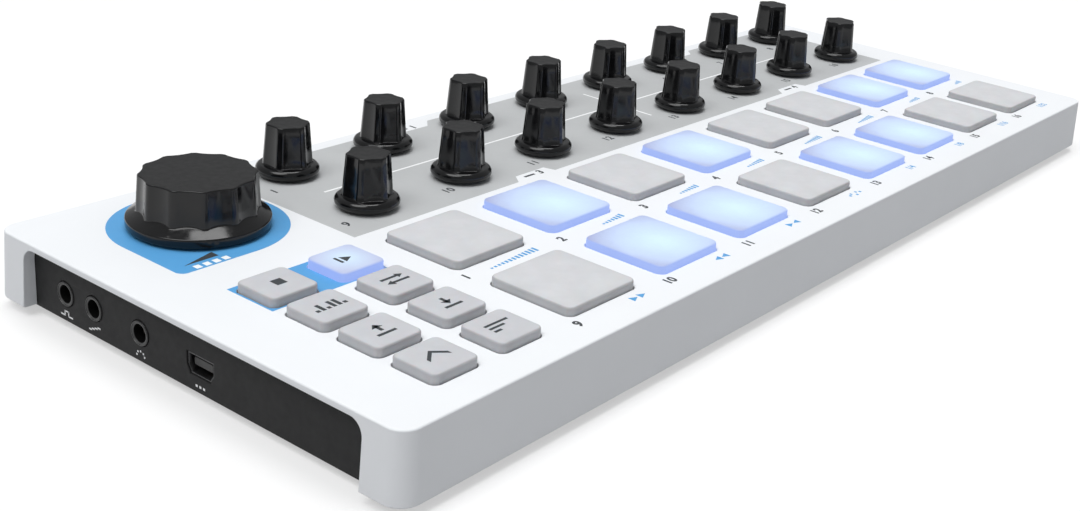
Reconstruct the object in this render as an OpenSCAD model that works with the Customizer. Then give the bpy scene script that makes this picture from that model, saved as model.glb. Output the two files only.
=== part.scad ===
// Step sequencer: a low white case with endless knobs, pressure pads and rubber buttons.
// Millimetres. X runs along the case to the right, Y to the back, Z up from the surface it stands on.
// The origin lies on that surface, under the middle of the case.

/* [Case] */
// Length of the case along its top edge
case_l = 253; // [251:0.5:275]
// Depth of the case along its top edge
case_d = 98; // [97:0.5:112]
// Height of the case walls
case_h = 12.25; // [12:0.05:15]
// How much further out the walls stand at their lower edge
case_draft = 0.55; // [0.1:0.05:1.2]
// Radius of the case's upright corners
corner_r = 3.3; // [2.4:0.1:6]
// Rounding of the case's top edge
edge_r = 0.35; // [0.2:0.05:1.1]
// Thickness of the walls at the top
wall_t = 1.9; // [1.4:0.1:2.2]
// Thickness of the top plate
top_t = 2; // [1.7:0.1:2.4]
// Radius of the screw posts under the top plate
post_r = 2.1; // [1.9:0.05:2.15]
// Distance of the screw posts from the front and rear walls
post_inset_y = 2.55; // [2.55:0.05:2.65]
// Distance of the left screw posts from the left wall
post_inset_left = 8.1; // [7.9:0.1:8.3]
// Distance of the right screw posts from the right wall
post_inset_right = 4.2; // [3.6:0.1:8]
// Radius of the pegs that hold the pad board down
peg_r = 1.6; // [1.2:0.1:2]

/* [Base] */
// Thickness of the base plate
base_t = 1.2; // [0.8:0.1:1.6]
// How far the base plate stands out below the walls
base_drop = 0.3; // [0.1:0.05:0.6]
// Play between the base plate and what is around it
base_gap = 0.3; // [0.2:0.05:0.5]
// Radius of a rubber foot
foot_r = 5; // [3:0.5:8]
// Height of a rubber foot
foot_h = 1.6; // [1.2:0.1:4]
// Distance of the feet from the ends of the case
foot_inset_x = 18; // [12:1:40]
// Distance of the feet from the front and the back
foot_inset_y = 14; // [12:1:25]

/* [Jack panel] */
// Width of the opening in the left wall
opening_w = 82.1; // [78:0.1:84]
// Radius of the opening's upper corners
opening_r = 2.6; // [1:0.1:4]
// Height of the strip of wall above the opening
lintel_h = 1.2; // [1:0.05:1.6]
// Thickness of the jack panel
panel_t = 2; // [1.5:0.1:2.4]
// How far the panel reaches up behind the strip above the opening
panel_tuck = 0.25; // [0.15:0.05:0.35]
// How far the panel reaches behind each side of the opening
panel_side = 1; // [0.5:0.1:2]
// Play round the panel
panel_fit = 0.1; // [0.05:0.01:0.12]

/* [Sockets] */
// Place of the first jack from the middle, towards the back
jack_1_y = 32.4; // [32:0.1:35]
// Place of the second jack from the middle, towards the back
jack_2_y = 24.55; // [22:0.05:25]
// Place of the third jack from the middle, towards the back
jack_3_y = 12.2; // [8:0.1:15]
// Width of a jack's housing
jack_w = 6.2; // [6:0.1:6.8]
// Height of a jack's housing
jack_h = 4.6; // [4.5:0.1:5.4]
// Length of a jack's housing
jack_l = 13; // [12:0.1:14]
// Diameter of a jack's bore
jack_bore_d = 3.6; // [3.55:0.01:3.7]
// Depth of a jack's bore
jack_bore_l = 14; // [12:0.1:14.5]
// Diameter of a jack's barrel
jack_barrel_d = 4.4; // [4.2:0.1:5.8]
// How far a jack's barrel stands out of the panel
jack_proud = 0.25; // [0.05:0.05:0.5]
// Place of the data socket from the middle, towards the back
usb_y = -2.9; // [-12:0.1:0]
// Width of the data socket
usb_w = 6.4; // [6:0.1:8]
// Height of the data socket
usb_h = 3.6; // [3.3:0.1:4]
// How far the data socket's lower corners step in
usb_step = 0.7; // [0.4:0.1:1]
// How far the data socket's mouth lies behind the panel's face
usb_inset = 0.25; // [0.1:0.05:0.5]
// Length of the data socket
usb_l = 9.2; // [8:0.1:9.4]
// Thickness of the data socket's sheet metal
usb_skin = 0.35; // [0.25:0.05:0.45]
// Thickness of the data socket's tongue
usb_tongue_t = 0.9; // [0.6:0.1:1.2]

/* [Pads] */
// Distance of the first column of pads and knobs from the left end of the case
column_inset_left = 54.2; // [53.4:0.1:57]
// Distance of the last column of pads and knobs from the right end of the case
column_inset_right = 21.35; // [16:0.05:24]
// Distance of the front row of pads from the front of the case
pad_inset_front = 17.05; // [16.8:0.05:18]
// Distance between the rows of pads, as a share of the depth between the outermost rows
pad_row_share = 0.358; // [0.35:0.001:0.37]
// Width of a pad's opening
pad_open = 18.5; // [16:0.1:18.8]
// Play round a pad in its opening
pad_gap = 0.25; // [0.2:0.05:0.5]
// How far a pad stands above the top plate
pad_rise = 1.6; // [1.2:0.1:3]
// How far a pad can be pressed down
pad_travel = 0.8; // [0.5:0.05:1]
// Rounding of a pad's upright corners
pad_corner_r = 1.5; // [1:0.1:3]
// Rounding of a pad's top edge
pad_edge_r = 0.35; // [0.2:0.05:0.9]
// How far a pad's flange reaches under the top plate
pad_lip = 0.85; // [0.6:0.05:1]
// Thickness of the flange of a pad or button
flange_t = 0.8; // [0.6:0.05:1]
// Play between a flange and the top plate at rest
seat_gap = 0.3; // [0.2:0.05:0.4]
// Width of the light well under a pad
well_w = 9; // [5:0.5:12]
// Depth of the light well under a pad
well_h = 2.4; // [1.5:0.1:3]

/* [Buttons] */
// Distance of the first column of buttons from the left end of the case
button_inset_left = 17.8; // [17.3:0.1:18.6]
// Distance between the button columns
button_pitch_x = 14.6; // [13.5:0.1:15]
// Distance of the front row of buttons from the front of the case
button_inset_front = 11.55; // [11.25:0.05:11.95]
// Distance between the button rows
button_pitch_y = 11.75; // [11.5:0.05:11.8]
// Width of a button's opening along the case
button_open_w = 10.2; // [9:0.1:10.6]
// Width of a button's opening across the case
button_open_d = 9.9; // [8.5:0.1:10]
// Play round a button in its opening
button_gap = 0.25; // [0.2:0.05:0.4]
// How far a button stands above the top plate
button_rise = 1.7; // [1.2:0.1:3]
// How far a button can be pressed down
button_travel = 0.8; // [0.5:0.05:0.8]
// Rounding of a button's upright corners
button_corner_r = 1.5; // [0.8:0.1:3]
// Rounding of a button's top edge
button_edge_r = 0.35; // [0.2:0.05:0.9]
// How far a button's flange reaches under the top plate
button_lip = 0.35; // [0.3:0.05:0.4]

/* [Small knobs] */
// Distance of the rear row of small knobs from the back of the case
knob_inset_rear = 10.7; // [10:0.1:11.5]
// Distance between the rows of small knobs, as a share of the depth between the outermost rows
knob_row_share = 0.318; // [0.305:0.001:0.325]
// Height of a small knob
knob_h = 10.4; // [9:0.1:14]
// Radius of a small knob's flange
knob_flange_r = 6.15; // [5.6:0.05:8]
// Height of a small knob's rounded flange
knob_flange_h = 2.2; // [1.6:0.1:3]
// Radius over the lobes at the foot of a small knob's grip
knob_foot_r = 4.95; // [4.8:0.05:5.2]
// Radius over the lobes at the top of a small knob
knob_top_r = 4.15; // [4.05:0.05:4.6]
// Number of lobes round a small knob
knob_lobes = 8; // [6:1:10]
// Depth of the hollows between a small knob's lobes
knob_flute = 0.6; // [0.3:0.02:0.64]
// Radius of the curve of those hollows
knob_flute_r = 4.6; // [4.2:0.1:12]

/* [Level knob] */
// Distance of the level knob from the left end of the case
level_inset_left = 25.95; // [25.5:0.05:27.5]
// Distance of the level knob from the back of the case
level_inset_rear = 20.6; // [19:0.1:22]
// Height of the level knob
level_h = 9.6; // [8:0.1:14]
// Radius of the level knob's rim
level_rim_r = 12.5; // [11.8:0.1:14]
// Height of the level knob's upright rim
level_rim_h = 1.8; // [1:0.1:2.4]
// Height of the sloping skirt above the rim
level_skirt_h = 1.6; // [0.8:0.1:2.2]
// Radius over the lobes of the level knob's grip
level_grip_r = 10.7; // [10:0.1:11.2]
// Number of lobes round the level knob
level_lobes = 12; // [8:1:16]
// Depth of the hollows between the level knob's lobes
level_flute = 1; // [0.6:0.05:1.2]
// Radius of the curve of those hollows
level_flute_r = 6.1; // [5.8:0.1:8]

/* [Encoders] */
// Gap between a knob and the top plate
knob_lift = 0.4; // [0.3:0.05:0.8]
// Width of a small encoder's housing
encoder_w = 11.8; // [10:0.1:12.4]
// Width of the level encoder's housing
level_encoder_w = 14; // [12:0.1:15]
// Height of an encoder's housing
encoder_h = 6.4; // [5:0.1:6.8]
// Radius of an encoder's bush
bush_r = 3.5; // [3.4:0.05:3.7]
// Play between a bush and its hole in the top plate
bush_gap = 0.2; // [0.15:0.05:0.4]
// Radius of an encoder's shaft
shaft_r = 3; // [2.5:0.05:3.1]
// Running clearance of the shaft in its bush
shaft_fit = 0.05; // [0.03:0.01:0.08]
// How far a shaft reaches into its knob
shaft_reach = 7.4; // [5:0.1:7.8]
// Depth of the flat along the top of a shaft
shaft_flat = 1.5; // [0.5:0.1:1.8]
// Play between a shaft and its knob
knob_fit = 0.02; // [0.01:0.01:0.05]
// Thickness of the floor under a shaft
encoder_floor = 2; // [1:0.1:3]
// Play under a shaft and over its end
shaft_end_gap = 0.3; // [0.2:0.05:0.5]

/* [Boards] */
// Thickness of a circuit board
board_t = 1.2; // [0.8:0.1:1.4]
// Height of the bosses that the main board rests on
boss_h = 0.4; // [0.3:0.1:0.8]
// Play between the main board and the walls
board_gap = 1; // [0.5:0.1:1.5]
// Margin of the pad board round the pads
pad_board_margin = 0.1; // [0.05:0.05:0.2]
// Thickness of the pressure sensor sheet
sheet_t = 0.3; // [0.2:0.05:0.4]
// Room left over the sensor sheet under a pressed pad
press_gap = 0.3; // [0.2:0.05:0.4]
// Radius of the spacers between the boards
spacer_r = 2.2; // [1.8:0.1:2.6]
// Length of the header between the boards
header_l = 24; // [10:1:40]
// Width of the header between the boards
header_w = 2.4; // [1.8:0.1:2.8]
// Width of the processor
processor_w = 12; // [8:0.5:14]
// Width of a driver chip
driver_w = 7; // [5:0.5:9]
// Thickness of the chips
chip_t = 1.2; // [0.8:0.1:2]
// Width of a pad's lamp
lamp_w = 2.8; // [1.6:0.1:4]
// Height of a pad's lamp
lamp_h = 0.6; // [0.4:0.05:0.9]
// Play round a lamp or a peg in the sensor sheet
sheet_gap = 0.4; // [0.2:0.1:0.6]
// Radius of a dome switch
dome_r = 2.2; // [1.5:0.1:3]
// Height of a dome switch
dome_h = 0.3; // [0.2:0.05:0.3]

/* [Case screws] */
// Radius of a case screw's shank
screw_r = 1.2; // [0.9:0.05:1.3]
// Length of a case screw's shank
screw_l = 8; // [6:0.5:9]
// Radius of a case screw's head
screw_head_r = 2.2; // [1.8:0.1:2.8]
// Height of a case screw's head
screw_head_h = 0.8; // [0.5:0.05:1]
// Clearance of a screw in the base plate and the board
screw_gap = 0.3; // [0.2:0.05:0.5]
// Play of a screw in its post
screw_fit = 0.05; // [0.03:0.01:0.08]
// Room over a screw's end in its post
screw_end_gap = 0.5; // [0.3:0.1:1]

/* [Hidden] */
$fn = 48;
eps = 0.01;
over = 1;
columns = 8;
rows = 2;
button_rows = 4;
hull_fn = 32;
edge_steps = 4;

base_z = foot_h;
base_top = base_z + base_t;
board_z = base_top + boss_h;
board_top = board_z + board_t;
case_z = base_z + base_drop;
top_z = case_z + case_h;
under_z = top_z - top_t;
flange_z = under_z - seat_gap - flange_t;
pad_board_top = flange_z - max(pad_travel, button_travel) - press_gap - sheet_t;
pad_board_z = pad_board_top - board_t;
knob_z = top_z + knob_lift;

inner_l = case_l - 2 * wall_t;
inner_d = case_d - 2 * wall_t;
inner_r = max(corner_r - wall_t, 0.5);
panel_x = -case_l / 2 + wall_t + panel_fit;
panel_w = opening_w + 2 * panel_side;
panel_top = top_z - lintel_h + panel_tuck;
jack_z = board_top + jack_h / 2;
jack_x = panel_x - jack_proud;
jack_body_x = panel_x + panel_t + panel_fit;
jack_ys = [jack_1_y, jack_2_y, jack_3_y];
usb_x = panel_x + usb_inset;

column_1_x = -case_l / 2 + column_inset_left;
column_pitch = (case_l - column_inset_left - column_inset_right) / (columns - 1);
middle_x = column_1_x + (columns - 1) / 2 * column_pitch;
row_span = case_d - pad_inset_front - knob_inset_rear;
pad_front_y = -case_d / 2 + pad_inset_front;
pad_rear_y = pad_front_y + row_span * pad_row_share;
knob_rear_y = case_d / 2 - knob_inset_rear;
knob_front_y = knob_rear_y - row_span * knob_row_share;
level_x = -case_l / 2 + level_inset_left;
level_y = case_d / 2 - level_inset_rear;
button_1_x = -case_l / 2 + button_inset_left;
button_rear_y = -case_d / 2 + button_inset_front + (button_rows - 1) * button_pitch_y;
pad_size = pad_open - 2 * pad_gap;
pad_flange_w = pad_open + 2 * pad_lip;
button_w = button_open_w - 2 * button_gap;
button_d = button_open_d - 2 * button_gap;
last_button_x = button_1_x + button_pitch_x;
post_y = inner_d / 2 - post_inset_y;
post_left_x = -inner_l / 2 + post_inset_left;
post_right_x = inner_l / 2 - post_inset_right;
peg_y = (pad_rear_y + pad_front_y) / 2;
side_peg_x = last_button_x + button_open_w / 2 + button_lip + seat_gap + peg_r;
posts = [for (x = [post_left_x, middle_x, post_right_x]) for (y = [-post_y, post_y]) [x, y]];
pegs = [for (x = [side_peg_x, column_x(0.5), middle_x, column_x(columns - 1.5)]) [x, peg_y]];
pad_board_left = button_1_x - button_open_w / 2 - button_lip - pad_board_margin;
pad_board_right = column_x(columns - 1) + pad_flange_w / 2 + pad_board_margin;
pad_board_front = pad_front_y - pad_flange_w / 2 - pad_board_margin;
pad_board_rear = pad_rear_y + pad_flange_w / 2 + header_w / 2;
sheet_left = column_1_x - pad_flange_w / 2;
header_y = pad_board_rear - header_w;
screw_end_z = base_z + screw_l;
feet = [for (sx = [-1, 1]) for (sy = [-1, 1])
    [sx * (case_l / 2 - foot_inset_x), sy * (case_d / 2 - foot_inset_y)]];

// Each chip is [x, y, width], on the main board under the pads
chips = [
    [column_x(4), peg_y, processor_w],
    [column_x(2), peg_y, driver_w],
    [column_x(6), peg_y, driver_w]
];

button_names = ["stop_button", "play_button", "sequence_button", "sync_button",
    "recall_button", "store_button", "shift_button", "channel_button"];

function column_x(i) = column_1_x + i * column_pitch;
function cell(n, rear_y, front_y) = [column_x((n - 1) % columns), n <= columns ? rear_y : front_y];
function pad_at(n) = cell(n, pad_rear_y, pad_front_y);
function knob_at(n) = cell(n, knob_rear_y, knob_front_y);
function button_at(n) =
    [button_1_x + (n % 2) * button_pitch_x, button_rear_y - floor(n / 2) * button_pitch_y];

// Flat outline with round corners
module rounded_rect(w, d, r) {
    square([w - 2 * r, d], center = true);
    square([w, d - 2 * r], center = true);
    for (sx = [-1, 1])
        for (sy = [-1, 1])
            translate([sx * (w / 2 - r), sy * (d / 2 - r)])
                circle(r);
}

// Side view of a block whose two top edges are round
module crown(w, h, r) {
    translate([-w / 2, 0])
        square([w, h - r]);
    translate([-w / 2 + r, 0])
        square([w - 2 * r, h]);
    for (sx = [-1, 1])
        translate([sx * (w / 2 - r), h - r])
            circle(r);
}

// Block with round upright corners and a round top edge, standing on its own origin
module soft_block(w, d, h, corner, edge) {
    intersection() {
        linear_extrude(h)
            rounded_rect(w, d, corner);
        rotate([90, 0, 90])
            translate([0, 0, -w])
                linear_extrude(2 * w)
                    crown(d, h, edge);
        rotate([90, 0, 0])
            translate([0, 0, -d])
                linear_extrude(2 * d)
                    crown(w, h, edge);
    }
}

// Rubber key: the block that shows, on a flange that lies under the top plate
module key(w, d, rise, corner, edge, lip, gap) {
    translate([0, 0, flange_z])
        soft_block(w, d, top_z + rise - flange_z, corner, edge);
    translate([0, 0, flange_z])
        linear_extrude(flange_t)
            rounded_rect(w + 2 * (gap + lip), d + 2 * (gap + lip), corner);
}

// Corner post of the case, wider at the foot and round at the top edge
module corner_column() {
    rotate_extrude($fn = hull_fn)
        polygon(concat(
            [[0, case_z], [corner_r + case_draft, case_z]],
            [for (i = [0:edge_steps])
                let (a = 90 * i / edge_steps)
                [corner_r - edge_r + edge_r * cos(a), top_z - edge_r + edge_r * sin(a)]],
            [[0, top_z]]
        ));
}

module case_outside() {
    hull()
        for (sx = [-1, 1])
            for (sy = [-1, 1])
                translate([sx * (case_l / 2 - corner_r), sy * (case_d / 2 - corner_r), 0])
                    corner_column();
}

module case_inside() {
    translate([0, 0, case_z - over])
        linear_extrude(under_z - case_z + over)
            rounded_rect(inner_l, inner_d, inner_r);
}

// Outline of the opening in the left wall, with Y across and Z up
module opening_outline() {
    sill = case_z - over;
    top = top_z - lintel_h;
    translate([-opening_w / 2, sill])
        square([opening_w, top - opening_r - sill]);
    translate([-opening_w / 2 + opening_r, sill])
        square([opening_w - 2 * opening_r, top - sill]);
    for (sy = [-1, 1])
        translate([sy * (opening_w / 2 - opening_r), top - opening_r])
            circle(opening_r);
}

module left_opening() {
    translate([-case_l / 2 - case_draft - over, 0, 0])
        rotate([90, 0, 90])
            linear_extrude(wall_t + case_draft + over + panel_fit)
                opening_outline();
}

// Room for the panel behind the wall and in the underside of the top plate
module panel_seat(play) {
    translate([panel_x - play, -panel_w / 2 - play, base_z - over])
        cube([panel_t + 2 * play, panel_w + 2 * play, panel_top + play - base_z + over]);
}

module key_openings() {
    translate([0, 0, under_z - over])
        linear_extrude(top_t + 2 * over) {
            for (n = [1:rows * columns])
                translate(pad_at(n))
                    rounded_rect(pad_open, pad_open, pad_corner_r + pad_gap);
            for (n = [0:len(button_names) - 1])
                translate(button_at(n))
                    rounded_rect(button_open_w, button_open_d, button_corner_r + button_gap);
        }
}

module bush_holes() {
    translate([0, 0, under_z - over]) {
        for (n = [1:rows * columns])
            translate(knob_at(n))
                cylinder(r = bush_r + bush_gap, h = top_t + 2 * over);
        translate([level_x, level_y])
            cylinder(r = bush_r + bush_gap, h = top_t + 2 * over);
    }
}

module top_case() {
    color("white")
        difference() {
            union() {
                difference() {
                    case_outside();
                    case_inside();
                    left_opening();
                    panel_seat(panel_fit);
                    key_openings();
                    bush_holes();
                }
                for (p = posts)
                    translate([p[0], p[1], board_top])
                        cylinder(r = post_r, h = under_z + eps - board_top);
                for (p = pegs)
                    translate([p[0], p[1], pad_board_top])
                        cylinder(r = peg_r, h = under_z + eps - pad_board_top);
            }
            for (p = posts)
                translate([p[0], p[1], board_top - over])
                    cylinder(r = screw_r + screw_fit, h = screw_end_z + screw_end_gap - board_top + over);
        }
}

module base_plate() {
    color("dimgray")
        difference() {
            union() {
                difference() {
                    translate([0, 0, base_z])
                        linear_extrude(base_t)
                            rounded_rect(inner_l - 2 * base_gap, inner_d - 2 * base_gap, inner_r);
                    panel_seat(base_gap);
                }
                for (p = posts)
                    translate([p[0], p[1], base_z])
                        cylinder(r = post_r, h = base_t + boss_h);
            }
            screw_holes(base_z, base_t + boss_h);
        }
}

module screw_holes(z, h) {
    for (p = posts)
        translate([p[0], p[1], z - over])
            cylinder(r = screw_r + screw_gap, h = h + 2 * over);
}

module jack_panel() {
    color([0.15, 0.15, 0.15])
        difference() {
            translate([panel_x, -panel_w / 2, base_z])
                cube([panel_t, panel_w, panel_top - base_z]);
            for (y = jack_ys)
                translate([panel_x - over, y, jack_z])
                    rotate([0, 90, 0])
                        cylinder(d = jack_barrel_d + 2 * panel_fit, h = panel_t + 2 * over);
            translate([panel_x - over, usb_y, board_top])
                rotate([90, 0, 90])
                    linear_extrude(panel_t + 2 * over)
                        usb_outline(panel_fit);
        }
}

// Housing on the board and a barrel through the panel, with one blind bore for the plug
module jack(y) {
    color([0.1, 0.1, 0.1])
        difference() {
            union() {
                translate([jack_body_x, y - jack_w / 2, board_top])
                    cube([jack_l, jack_w, jack_h]);
                translate([jack_x, y, jack_z])
                    rotate([0, 90, 0])
                        cylinder(d = jack_barrel_d, h = jack_body_x + eps - jack_x);
            }
            translate([jack_x - over, y, jack_z])
                rotate([0, 90, 0])
                    cylinder(d = jack_bore_d, h = jack_bore_l + over);
        }
}

// Outline of the data socket, standing on the board, grown by a margin
module usb_outline(margin) {
    half = usb_w / 2 + margin;
    foot = half - usb_step;
    top = usb_h + margin;
    polygon([[-foot, -margin], [foot, -margin], [foot, usb_step / 2], [half, 2 * usb_step],
        [half, top], [-half, top], [-half, 2 * usb_step], [-foot, usb_step / 2]]);
}

module usb_socket() {
    tongue_w = usb_w - 4 * usb_step;
    color("silver") {
        translate([usb_x, usb_y, board_top])
            rotate([90, 0, 90])
                difference() {
                    linear_extrude(usb_l)
                        usb_outline(0);
                    translate([0, 0, -over])
                        linear_extrude(usb_l - usb_skin + over)
                            usb_outline(-usb_skin);
                }
        translate([usb_x + 2 * usb_skin, usb_y - tongue_w / 2, board_top + (usb_h - usb_tongue_t) / 2])
            cube([usb_l - 3 * usb_skin + eps, tongue_w, usb_tongue_t]);
    }
}

module main_board() {
    left = panel_x + panel_t + base_gap;
    right = inner_l / 2 - board_gap;
    color("darkgreen")
        difference() {
            translate([left, -inner_d / 2 + board_gap, board_z])
                cube([right - left, inner_d - 2 * board_gap, board_t]);
            screw_holes(board_z, board_t);
        }
}

module pad_board() {
    color("darkgreen")
        translate([pad_board_left, pad_board_front, pad_board_z])
            cube([pad_board_right - pad_board_left, pad_board_rear - pad_board_front, board_t]);
}

module board_spacers() {
    color("gold")
        for (p = pegs)
            translate([p[0], p[1], board_top])
                cylinder(r = spacer_r, h = pad_board_z - board_top);
}

module board_header() {
    color([0.1, 0.1, 0.1])
        translate([middle_x - header_l / 2, header_y - header_w / 2, board_top])
            cube([header_l, header_w, pad_board_z - board_top]);
}

module board_chips() {
    color([0.12, 0.12, 0.12])
        for (c = chips)
            translate([c[0] - c[2] / 2, c[1] - c[2] / 2, board_top])
                cube([c[2], c[2], chip_t]);
}

// Housing with a bush up to the top plate and a blind bore for the shaft
module encoder_body(w) {
    body_top = board_top + encoder_h;
    bore_z = board_top + encoder_floor;
    difference() {
        union() {
            translate([-w / 2, -w / 2, board_top])
                cube([w, w, encoder_h]);
            translate([0, 0, body_top - eps])
                cylinder(r = bush_r, h = top_z - body_top + eps);
        }
        translate([0, 0, bore_z])
            cylinder(r = shaft_r + shaft_fit, h = top_z - bore_z + over);
    }
}

module encoder_bodies() {
    color("silver")
        for (n = [1:rows * columns])
            translate(knob_at(n))
                encoder_body(encoder_w);
}

module level_encoder_body() {
    color("silver")
        translate([level_x, level_y])
            encoder_body(level_encoder_w);
}

// Round bar with a flat along one side
module flatted_bar(r, flat, h) {
    linear_extrude(h)
        difference() {
            circle(r);
            translate([r - flat, -r - over])
                square([flat + over, 2 * (r + over)]);
        }
}

module encoder_shaft() {
    shaft_z = board_top + encoder_floor + shaft_end_gap;
    shoulder_z = top_z + knob_lift / 2;
    union() {
        translate([0, 0, shaft_z])
            cylinder(r = shaft_r, h = shoulder_z - shaft_z);
        translate([0, 0, shoulder_z - eps])
            flatted_bar(shaft_r, shaft_flat, knob_z + shaft_reach - shoulder_z + eps);
    }
}

// Tapered grip with hollows between its lobes
module fluted_grip(h, foot_r, top_r, lobes, depth, curve_r) {
    lean = atan((foot_r - top_r) / h);
    difference() {
        cylinder(r1 = foot_r, r2 = top_r, h = h);
        for (i = [0:lobes - 1])
            rotate(360 / lobes * (i + 0.5))
                translate([foot_r - depth + curve_r, 0, 0])
                    rotate([0, -lean, 0])
                        translate([0, 0, -over])
                            cylinder(r = curve_r, h = h + 3 * over);
    }
}

module knob_bore() {
    translate([0, 0, knob_z - over])
        flatted_bar(shaft_r + knob_fit, shaft_flat, shaft_reach + shaft_end_gap + over);
}

module small_knob() {
    rim_r = knob_flange_h / 2;
    difference() {
        translate([0, 0, knob_z]) {
            fluted_grip(knob_h, knob_foot_r, knob_top_r, knob_lobes, knob_flute, knob_flute_r);
            rotate_extrude() {
                square([knob_flange_r - rim_r, knob_flange_h]);
                translate([knob_flange_r - rim_r, rim_r])
                    intersection() {
                        circle(rim_r);
                        translate([0, -rim_r])
                            square([rim_r, 2 * rim_r]);
                    }
            }
        }
        knob_bore();
    }
}

// Flat outline of the level knob's grip, with hollows between its lobes
module lobed_outline() {
    difference() {
        circle(level_grip_r);
        for (i = [0:level_lobes - 1])
            rotate(360 / level_lobes * (i + 0.5))
                translate([level_grip_r - level_flute + level_flute_r, 0])
                    circle(level_flute_r);
    }
}

// The skirt's slope runs on into the grip until it is clear of the hollows
module large_knob() {
    slope = level_skirt_h / (level_rim_r - level_grip_r);
    buried_r = level_grip_r - 3 * level_flute;
    difference() {
        translate([0, 0, knob_z]) {
            linear_extrude(level_h)
                lobed_outline();
            rotate_extrude()
                polygon([[0, 0], [level_rim_r, 0], [level_rim_r, level_rim_h],
                    [buried_r, level_rim_h + slope * (level_rim_r - buried_r)],
                    [0, level_rim_h + slope * (level_rim_r - buried_r)]]);
        }
        knob_bore();
    }
}

module knob(n) {
    color([0.08, 0.08, 0.08])
        translate(knob_at(n)) {
            small_knob();
            encoder_shaft();
        }
}

module level_knob() {
    color([0.08, 0.08, 0.08])
        translate([level_x, level_y]) {
            large_knob();
            encoder_shaft();
        }
}

module pad(n) {
    color("gainsboro")
        translate(pad_at(n))
            difference() {
                key(pad_size, pad_size, pad_rise, pad_corner_r, pad_edge_r, pad_lip, pad_gap);
                translate([-well_w / 2, -well_w / 2, flange_z - over])
                    cube([well_w, well_w, well_h + over]);
            }
}

module button(n) {
    color("lightgray")
        translate(button_at(n))
            key(button_w, button_d, button_rise, button_corner_r, button_edge_r, button_lip, button_gap);
}

module pad_sensor_sheet() {
    color([0.2, 0.2, 0.22])
        translate([0, 0, pad_board_top])
            linear_extrude(sheet_t)
                difference() {
                    translate([sheet_left, pad_board_front])
                        square([pad_board_right - sheet_left, pad_board_rear - pad_board_front]);
                    for (n = [1:rows * columns])
                        translate(pad_at(n))
                            square(lamp_w + 2 * sheet_gap, center = true);
                    for (p = pegs)
                        translate(p)
                            circle(peg_r + sheet_gap);
                }
}

module pad_lamps() {
    color("lightyellow")
        for (n = [1:rows * columns])
            translate([pad_at(n)[0] - lamp_w / 2, pad_at(n)[1] - lamp_w / 2, pad_board_top])
                cube([lamp_w, lamp_w, lamp_h]);
}

module button_switches() {
    color("silver")
        for (n = [0:len(button_names) - 1])
            translate([button_at(n)[0], button_at(n)[1], pad_board_top])
                cylinder(r = dome_r, h = dome_h);
}

module rubber_feet() {
    color([0.1, 0.1, 0.1])
        for (p = feet)
            translate(p)
                cylinder(r = foot_r, h = foot_h);
}

module case_screws() {
    color("silver")
        for (p = posts)
            translate([p[0], p[1], base_z]) {
                translate([0, 0, -screw_head_h])
                    cylinder(r = screw_head_r, h = screw_head_h);
                translate([0, 0, -eps])
                    cylinder(r = screw_r, h = screw_l + eps);
            }
}

top_case();
base_plate();
jack_panel();
main_board();
pad_board();
board_spacers();
board_header();
board_chips();
encoder_bodies();
level_encoder_body();
jack(jack_1_y);  // gate_jack
jack(jack_2_y);  // control_jack
jack(jack_3_y);  // note_jack
usb_socket();
pad_sensor_sheet();
pad_lamps();
button_switches();
rubber_feet();
case_screws();
level_knob();
for (n = [1:rows * columns]) {
    knob(n);
    pad(n);
}
for (n = [0:len(button_names) - 1])
    button(n);
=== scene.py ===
"""Looks of a low white step sequencer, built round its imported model.

Lengths are in millimetres unless a name says otherwise; Solid and MM turn them into metres.
"""

import math

import bmesh
import bpy
from mathutils import Matrix, Vector


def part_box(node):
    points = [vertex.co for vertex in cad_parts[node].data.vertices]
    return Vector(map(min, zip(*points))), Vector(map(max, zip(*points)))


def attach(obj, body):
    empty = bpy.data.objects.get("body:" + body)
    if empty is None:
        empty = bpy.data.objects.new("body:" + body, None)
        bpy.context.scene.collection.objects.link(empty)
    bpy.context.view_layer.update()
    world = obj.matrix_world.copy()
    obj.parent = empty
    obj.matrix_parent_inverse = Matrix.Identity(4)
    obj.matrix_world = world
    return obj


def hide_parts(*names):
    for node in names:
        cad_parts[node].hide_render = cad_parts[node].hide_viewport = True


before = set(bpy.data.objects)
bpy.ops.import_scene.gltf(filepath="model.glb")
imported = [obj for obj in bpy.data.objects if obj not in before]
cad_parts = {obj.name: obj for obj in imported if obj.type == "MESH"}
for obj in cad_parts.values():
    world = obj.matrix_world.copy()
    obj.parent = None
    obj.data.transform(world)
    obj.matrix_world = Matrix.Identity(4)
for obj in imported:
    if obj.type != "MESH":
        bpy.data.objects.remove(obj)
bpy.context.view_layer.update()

MM = 0.001
CHASSIS = "chassis"


def node_box(node):
    """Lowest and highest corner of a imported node, in millimetres."""
    low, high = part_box(node)
    return low / MM, high / MM


def node_middle(node):
    """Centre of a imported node, in millimetres."""
    low, high = node_box(node)
    return (low + high) / 2


def plan_place(node):
    """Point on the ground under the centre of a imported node."""
    middle = node_middle(node)
    return middle.x, middle.y, 0


# Case
CASE_LOW, CASE_HIGH = node_box("top_case")
DRAFT = 0.55  # how far each wall leans out on its way down
CASE_L = CASE_HIGH.x - CASE_LOW.x - 2 * DRAFT
CASE_D = CASE_HIGH.y - CASE_LOW.y - 2 * DRAFT
CASE_Z = CASE_LOW.z
TOP_Z = CASE_HIGH.z
CORNER_R = 3.3
EDGE_R = 0.35
WALL_T = 1.9
UNDER_Z = TOP_Z - 2.0
FOOT_R = 0.3
HOLE_EDGE = 0.12
CUT_PAST = 4  # how far a cutter reaches past what it cuts
INNER_L = CASE_L - 2 * WALL_T
INNER_D = CASE_D - 2 * WALL_T
INNER_R = CORNER_R - WALL_T

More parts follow.
